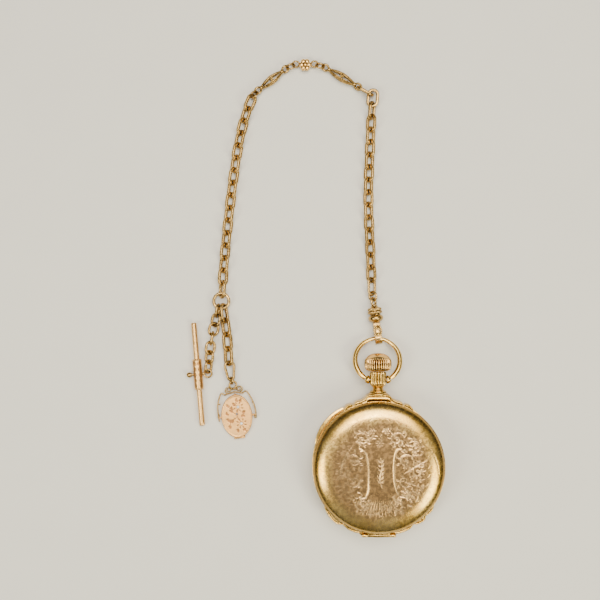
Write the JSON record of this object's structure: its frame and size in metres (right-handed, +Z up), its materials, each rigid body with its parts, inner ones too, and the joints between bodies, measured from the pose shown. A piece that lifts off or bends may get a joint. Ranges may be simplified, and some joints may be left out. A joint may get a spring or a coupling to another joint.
{
  "type": "hunter pocket watch",
  "caption": "Hunter-case pocket watch with hinged covers, bow and crown, on a vest chain with swivel, T-bar and spinning oval fob.",
  "frame": {"origin": "centre of the back cover's flat outer face, which rests on the table", "axes": "+Z up through the front cover, +Y towards the pendant, crown and bow, +X to the right when seen from the front"},
  "size_m": [0.1071, 0.1992, 0.0175],
  "materials": {
    "gold_case": "worn polished yellow gold, engraved",
    "gold_chain": "aged yellow gold, faceted links",
    "gold_medallion": "satin rose-yellow gold, engraved",
    "steel": "polished steel",
    "crystal_glass": "clear polished",
    "gilt_plate": "frosted gilt",
    "brass_wheels": "polished",
    "dial_enamel": "glossy white enamel",
    "blued_steel": "blued"
  },
  "bodies": {
    "case": {"case_band": "gold_case", "hinge_box": "gold_case", "hinge_pins": "steel", "shoulder_plate": "gold_case", "pendant": "gold_case", "stem_sleeve": "steel", "bow_screws": "steel", "lock_spring": "steel", "lift_spring": "steel", "bezel": "gold_case", "crystal": "crystal_glass", "main_plate": "gilt_plate", "barrel_bridge": "gilt_plate", "train_bridge": "gilt_plate", "balance_cock": "gilt_plate", "bridge_screws": "steel", "dial": "dial_enamel"},
    "front_lid": {"front_lid": "gold_case"},
    "back_lid": {"back_lid": "gold_case"},
    "cuvette": {"cuvette": "gold_case"},
    "bow": {"bow": "gold_case"},
    "stem": {"winding_stem": "steel"},
    "crown": {"crown": "gold_case"},
    "barrel": {"mainspring_barrel": "brass_wheels"},
    "centre": {"centre_wheel": "brass_wheels", "cannon_pinion": "steel", "minute_hand": "blued_steel"},
    "third": {"third_wheel": "brass_wheels"},
    "fourth": {"fourth_wheel": "brass_wheels", "seconds_hand": "blued_steel"},
    "escape": {"escape_wheel": "brass_wheels"},
    "pallet": {"pallet_fork": "steel"},
    "balance": {"balance_wheel": "brass_wheels", "hairspring": "steel"},
    "crown_wheel": {"crown_wheel": "steel"},
    "ratchet": {"ratchet_wheel": "steel"},
    "click": {"click": "steel"},
    "minute_work": {"minute_wheel": "brass_wheels"},
    "hour": {"hour_wheel": "brass_wheels", "hour_hand": "blued_steel"},
    "swivel_hook": {"swivel_hook": "gold_chain"},
    "swivel_gate": {"swivel_gate": "gold_chain"},
    "swivel_barrel": {"swivel_barrel": "gold_chain"},
    "swivel_ring": {"swivel_ring": "gold_chain"},
    "right_chain_lower": {"right_chain_lower": "gold_chain"},
    "right_chain_upper": {"right_chain_upper": "gold_chain"},
    "right_taper": {"right_taper_link": "gold_chain"},
    "flower": {"flower_charm": "gold_chain", "charm_rings": "gold_chain"},
    "left_taper": {"left_taper_link": "gold_chain"},
    "left_chain_upper": {"left_chain_upper": "gold_chain"},
    "left_chain_lower": {"left_chain_lower": "gold_chain"},
    "jump_ring": {"jump_ring": "gold_chain"},
    "t_bar_chain": {"t_bar_chain": "gold_chain"},
    "t_bar_eye": {"t_bar_eye": "gold_chain"},
    "t_bar": {"t_bar": "gold_chain"},
    "fob_chain": {"fob_chain": "gold_chain"},
    "fob_rings": {"fob_rings": "gold_chain"},
    "fob_frame": {"fob_frame": "gold_chain"},
    "fob_medallion": {"fob_medallion": "gold_medallion"}
  },
  "joints": [
    {"name": "front_lid_hinge", "type": "hinge", "parent": "case", "child": "front_lid", "pos_m": [0, -0.02805, 0.01285], "axis": [1, 0, 0], "range_deg": [0, 95]},
    {"name": "back_lid_hinge", "type": "hinge", "parent": "case", "child": "back_lid", "pos_m": [0, -0.02805, 0.00485], "axis": [-1, 0, 0], "range_deg": [0, 95]},
    {"name": "cuvette_hinge", "type": "hinge", "parent": "case", "child": "cuvette", "pos_m": [0, -0.02805, 0.00485], "axis": [-1, 0, 0], "range_deg": [0, 81]},
    {"name": "bow_hinge", "type": "hinge", "parent": "case", "child": "bow", "pos_m": [0, 0.0358, 0.00885], "axis": [1, 0, 0], "range_deg": [-90, 110]},
    {"name": "stem_slide", "type": "slide", "parent": "case", "child": "stem", "axis": [0, 1, 0], "range_m": [-0.0005, 0.0012]},
    {"name": "crown_spin", "type": "hinge", "parent": "stem", "child": "crown", "pos_m": [0, 0.0394, 0.00885], "axis": [0, 1, 0], "continuous": true},
    {"name": "crown_wheel_spin", "type": "hinge", "parent": "case", "child": "crown_wheel", "pos_m": [0, 0.0156, 0.0051], "axis": [0, 0, 1], "continuous": true},
    {"name": "ratchet_spin", "type": "hinge", "parent": "case", "child": "ratchet", "pos_m": [-0.0053, 0.00757, 0.0051], "axis": [0, 0, 1], "continuous": true},
    {"name": "click_lift", "type": "hinge", "parent": "case", "child": "click", "pos_m": [-0.0111, 0.0116, 0.0051], "axis": [0, 0, -1], "range_deg": [0, 10]},
    {"name": "seconds_spin", "type": "hinge", "parent": "case", "child": "fourth", "pos_m": [0.0108, 0, 0.008], "axis": [0, 0, -1], "continuous": true},
    {"name": "third_spin", "type": "hinge", "parent": "case", "child": "third", "pos_m": [0.00607, -0.00388, 0.008], "axis": [0, 0, -1], "continuous": true},
    {"name": "minute_spin", "type": "hinge", "parent": "case", "child": "centre", "pos_m": [0, 0, 0.008], "axis": [0, 0, -1], "continuous": true},
    {"name": "hour_spin", "type": "hinge", "parent": "case", "child": "hour", "pos_m": [0, 0, 0.011], "axis": [0, 0, -1], "continuous": true},
    {"name": "minute_work_spin", "type": "hinge", "parent": "case", "child": "minute_work", "pos_m": [-0.00212, -0.00212, 0.0108], "axis": [0, 0, -1], "continuous": true},
    {"name": "barrel_spin", "type": "hinge", "parent": "case", "child": "barrel", "pos_m": [-0.0053, 0.00757, 0.008], "axis": [0, 0, -1], "continuous": true},
    {"name": "escape_spin", "type": "hinge", "parent": "case", "child": "escape", "pos_m": [0.01419, -0.00404, 0.008], "axis": [0, 0, -1], "continuous": true},
    {"name": "pallet_swing", "type": "hinge", "parent": "case", "child": "pallet", "pos_m": [0.01178, -0.00684, 0.0085], "axis": [0, 0, -1], "range_deg": [-5, 5]},
    {"name": "balance_swing", "type": "hinge", "parent": "case", "child": "balance", "pos_m": [0.0075, -0.0118, 0.0074], "axis": [0, 0, -1], "range_deg": [-270, 270], "stiffness_Nm_per_rad": 0.0000015},
    {"name": "swivel_swing", "type": "hinge", "parent": "bow", "child": "swivel_hook", "pos_m": [0.0006, 0.05259, 0.0034], "axis": [1, 0, 0], "range_deg": [-40, 40]},
    {"name": "gate_hinge", "type": "hinge", "parent": "swivel_hook", "child": "swivel_gate", "pos_m": [0.00009, 0.0566, 0.00515], "axis": [0.9919, 0.1268, 0], "range_deg": [0, 20], "stiffness_Nm_per_rad": 0.0008, "springref_deg": -8.59},
    {"name": "swivel_spin", "type": "hinge", "parent": "swivel_hook", "child": "swivel_barrel", "pos_m": [-0.00029, 0.05953, 0.00323], "axis": [-0.1267, 0.9916, -0.0245], "continuous": true},
    {"name": "swivel_ring_swing", "type": "hinge", "parent": "swivel_barrel", "child": "swivel_ring", "pos_m": [-0.00153, 0.06925, 0.00298], "axis": [0, 0, 1], "range_deg": [-10, 10]},
    {"name": "right_chain_foot", "type": "hinge", "parent": "swivel_ring", "child": "right_chain_lower", "pos_m": [-0.0022, 0.07726, 0.00248], "axis": [0, 0, -1], "range_deg": [-10, 10]},
    {"name": "right_chain_middle", "type": "hinge", "parent": "right_chain_lower", "child": "right_chain_upper", "pos_m": [-0.00336, 0.11965, 0.00238], "axis": [0, 0, 1], "range_deg": [-12, 12]},
    {"name": "right_corner", "type": "hinge", "parent": "right_chain_upper", "child": "right_taper", "pos_m": [-0.00784, 0.15862, 0.0027], "axis": [0, 0, -1], "range_deg": [-8, 8]},
    {"name": "flower_right", "type": "hinge", "parent": "right_taper", "child": "flower", "pos_m": [-0.02282, 0.16743, 0.0025], "axis": [0, 0, 1], "range_deg": [-8, 8]},
    {"name": "flower_left", "type": "hinge", "parent": "flower", "child": "left_taper", "pos_m": [-0.03744, 0.16697, 0.0025], "axis": [0, 0, -1], "range_deg": [-8, 8]},
    {"name": "left_corner", "type": "hinge", "parent": "left_taper", "child": "left_chain_upper", "pos_m": [-0.05105, 0.1563, 0.00239], "axis": [0, 0, 1], "range_deg": [-8, 8]},
    {"name": "left_chain_middle", "type": "hinge", "parent": "left_chain_upper", "child": "left_chain_lower", "pos_m": [-0.06143, 0.11308, 0.00241], "axis": [0, 0, -1], "range_deg": [-12, 12]},
    {"name": "left_chain_foot", "type": "hinge", "parent": "left_chain_lower", "child": "jump_ring", "pos_m": [-0.0656, 0.0716, 0.0026], "axis": [0, 0, 1], "range_deg": [-6, 6]},
    {"name": "t_bar_chain_swing", "type": "hinge", "parent": "jump_ring", "child": "t_bar_chain", "pos_m": [-0.06758, 0.06589, 0.0026], "axis": [0, 0, -1], "range_deg": [0, 6]},
    {"name": "t_bar_eye_swing", "type": "hinge", "parent": "t_bar_chain", "child": "t_bar_eye", "pos_m": [-0.07132, 0.0389, 0.002], "axis": [0, 0, 1], "range_deg": [0, 8]},
    {"name": "t_bar_spin", "type": "hinge", "parent": "t_bar_eye", "child": "t_bar", "pos_m": [-0.0755, 0.03745, 0.002], "axis": [0.9965, 0.0837, 0], "continuous": true},
    {"name": "fob_chain_swing", "type": "hinge", "parent": "jump_ring", "child": "fob_chain", "pos_m": [-0.06426, 0.0655, 0.0026], "axis": [0, 0, 1], "range_deg": [0, 6]},
    {"name": "fob_ring_swing", "type": "hinge", "parent": "fob_chain", "child": "fob_rings", "pos_m": [-0.0625, 0.04214, 0.0024], "axis": [0, 0, -1], "range_deg": [-10, 10]},
    {"name": "fob_frame_swing", "type": "hinge", "parent": "fob_rings", "child": "fob_frame", "pos_m": [-0.0605, 0.03209, 0.00171], "axis": [0, 0, 1], "range_deg": [-10, 10]},
    {"name": "fob_spin", "type": "hinge", "parent": "fob_frame", "child": "fob_medallion", "pos_m": [-0.0591, 0.0197, 0.0015], "axis": [0.9954, 0.0958, 0], "continuous": true}
  ],
  "couplings": [
    {"joint": "cuvette_hinge", "follows": "back_lid_hinge", "ratio": 0.85},
    {"joint": "crown_wheel_spin", "follows": "crown_spin", "ratio": 0.5},
    {"joint": "ratchet_spin", "follows": "crown_spin", "ratio": -0.36957},
    {"joint": "third_spin", "follows": "seconds_spin", "ratio": -0.13333},
    {"joint": "minute_spin", "follows": "seconds_spin", "ratio": 0.016667},
    {"joint": "hour_spin", "follows": "seconds_spin", "ratio": 0.0013889},
    {"joint": "minute_work_spin", "follows": "seconds_spin", "ratio": -0.0055556},
    {"joint": "barrel_spin", "follows": "seconds_spin", "ratio": -0.0027778},
    {"joint": "escape_spin", "follows": "seconds_spin", "ratio": -10}
  ]
}
